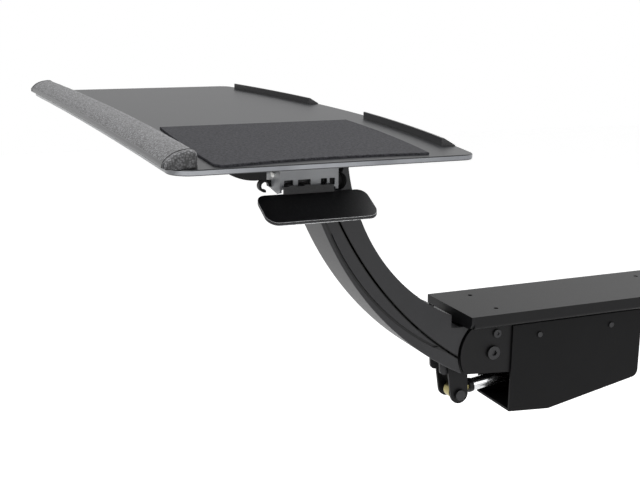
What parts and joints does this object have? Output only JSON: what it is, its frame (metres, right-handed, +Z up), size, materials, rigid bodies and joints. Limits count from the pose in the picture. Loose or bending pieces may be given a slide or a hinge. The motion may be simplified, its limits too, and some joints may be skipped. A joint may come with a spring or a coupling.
{
  "type": "articulated keyboard tray",
  "caption": "Keyboard tray with padded palm rest and mouse pad on a curved height-adjusting arm that swivels on a track under the desk",
  "frame": {"origin": "middle of the track's top face, which lies against the underside of the desk", "axes": "+Z up, +Y away from the user, +X to the user's right"},
  "size_m": [0.686, 0.9489, 0.3508],
  "materials": {
    "black_powder_coat": "satin black powder coat",
    "graphite_coat": "satin dark grey powder coat on die-cast aluminium",
    "zinc_steel": "bright zinc plated steel",
    "spring_steel": "polished steel tube and rod",
    "brass_fitting": "dull yellow chromate fitting",
    "black_plastic": "moulded black plastic",
    "white_nylon": "natural nylon glide",
    "light_grey_coat": "satin light grey coat",
    "lever_black": "satin black with worn bright edges",
    "tray_laminate": "dark laminate board with polished grey edge",
    "palm_fabric": "pebbled grey padded cover",
    "pad_surface": "fine-textured dark mouse pad"
  },
  "bodies": {
    "track": {"track_rail": "black_powder_coat", "track_front_stop": "black_plastic", "track_rear_stop": "black_plastic"},
    "carriage": {"carriage_plate": "zinc_steel", "carriage_glides": "white_nylon", "carriage_boss": "zinc_steel", "swivel_washer": "white_nylon", "swivel_bolt": "zinc_steel", "swivel_nut": "zinc_steel"},
    "base": {"base_bracket": "black_powder_coat", "shroud": "black_plastic", "shroud_screws": "zinc_steel", "main_pivot_bolts": "zinc_steel", "main_pivot_nuts": "zinc_steel", "pivot_spacers": "zinc_steel", "link_spacers": "zinc_steel", "link_pivot_screw": "zinc_steel"},
    "arm": {"arm_casting": "graphite_coat", "arm_rear_cover": "graphite_coat", "arm_screws": "zinc_steel", "pivot_bushes": "white_nylon", "torque_plates": "black_powder_coat", "torque_bolt": "zinc_steel", "torque_nut": "zinc_steel", "head_pivot_bolts": "black_plastic", "head_pivot_nuts": "zinc_steel"},
    "link": {"parallel_link": "black_powder_coat"},
    "level_lever": {"level_plates": "zinc_steel", "link_upper_pin": "zinc_steel", "clutch_discs": "white_nylon"},
    "gas_cylinder": {"gas_tube": "spring_steel", "cylinder_cap": "black_plastic", "cylinder_end_fitting": "brass_fitting"},
    "gas_piston": {"gas_rod": "spring_steel", "rod_end_fitting": "brass_fitting", "anchor_pin": "zinc_steel"},
    "head": {"head_housing": "black_powder_coat", "mount_plate": "black_powder_coat", "mount_screws": "zinc_steel", "lever_bracket": "light_grey_coat", "lever_rod": "zinc_steel", "lever_spring": "spring_steel", "cable_clip": "black_plastic", "tray_board": "tray_laminate", "palm_rest": "palm_fabric", "mouse_pad": "pad_surface", "stop_rail_right": "black_plastic", "stop_rail_left": "black_plastic", "rail_screws": "zinc_steel"},
    "lever": {"release_lever": "lever_black"}
  },
  "joints": [
    {"name": "carriage_slide", "type": "slide", "parent": "track", "child": "carriage", "axis": [0, 1, 0], "range_m": [0, 0.012]},
    {"name": "base_swivel", "type": "hinge", "parent": "carriage", "child": "base", "pos_m": [0, -0.183, -0.018], "axis": [0, 0, 1], "range_deg": [-35, 35]},
    {"name": "arm_lift", "type": "hinge", "parent": "base", "child": "arm", "pos_m": [0, -0.244, -0.05], "axis": [1, 0, 0], "range_deg": [0, 67]},
    {"name": "link_turn", "type": "hinge", "parent": "base", "child": "link", "pos_m": [0, -0.24, -0.028], "axis": [1, 0, 0], "range_deg": [0, 67]},
    {"name": "level_turn", "type": "hinge", "parent": "arm", "child": "level_lever", "pos_m": [0, -0.4375, 0.1565], "axis": [1, 0, 0], "range_deg": [-67, 0]},
    {"name": "cylinder_turn", "type": "hinge", "parent": "arm", "child": "gas_cylinder", "pos_m": [0, -0.275, -0.102], "axis": [1, 0, 0], "range_deg": [-65, 0]},
    {"name": "piston_slide", "type": "slide", "parent": "gas_cylinder", "child": "gas_piston", "axis": [0, 0.9919, 0.1271], "range_m": [-0.066, 0]},
    {"name": "tray_tilt", "type": "hinge", "parent": "level_lever", "child": "head", "pos_m": [0, -0.4375, 0.1565], "axis": [1, 0, 0], "range_deg": [-12, 12]},
    {"name": "lever_lift", "type": "hinge", "parent": "head", "child": "lever", "pos_m": [0.007, -0.479, 0.164], "axis": [0, -1, 0], "range_deg": [0, 8], "stiffness_Nm_per_rad": 1, "springref_deg": -8.59}
  ],
  "couplings": [
    {"joint": "link_turn", "follows": "arm_lift", "ratio": 1},
    {"joint": "level_turn", "follows": "arm_lift", "ratio": -1},
    {"joint": "cylinder_turn", "follows": "arm_lift", "ratio": -0.96269},
    {"joint": "piston_slide", "follows": "arm_lift", "m_per_rad": -0.056227}
  ]
}
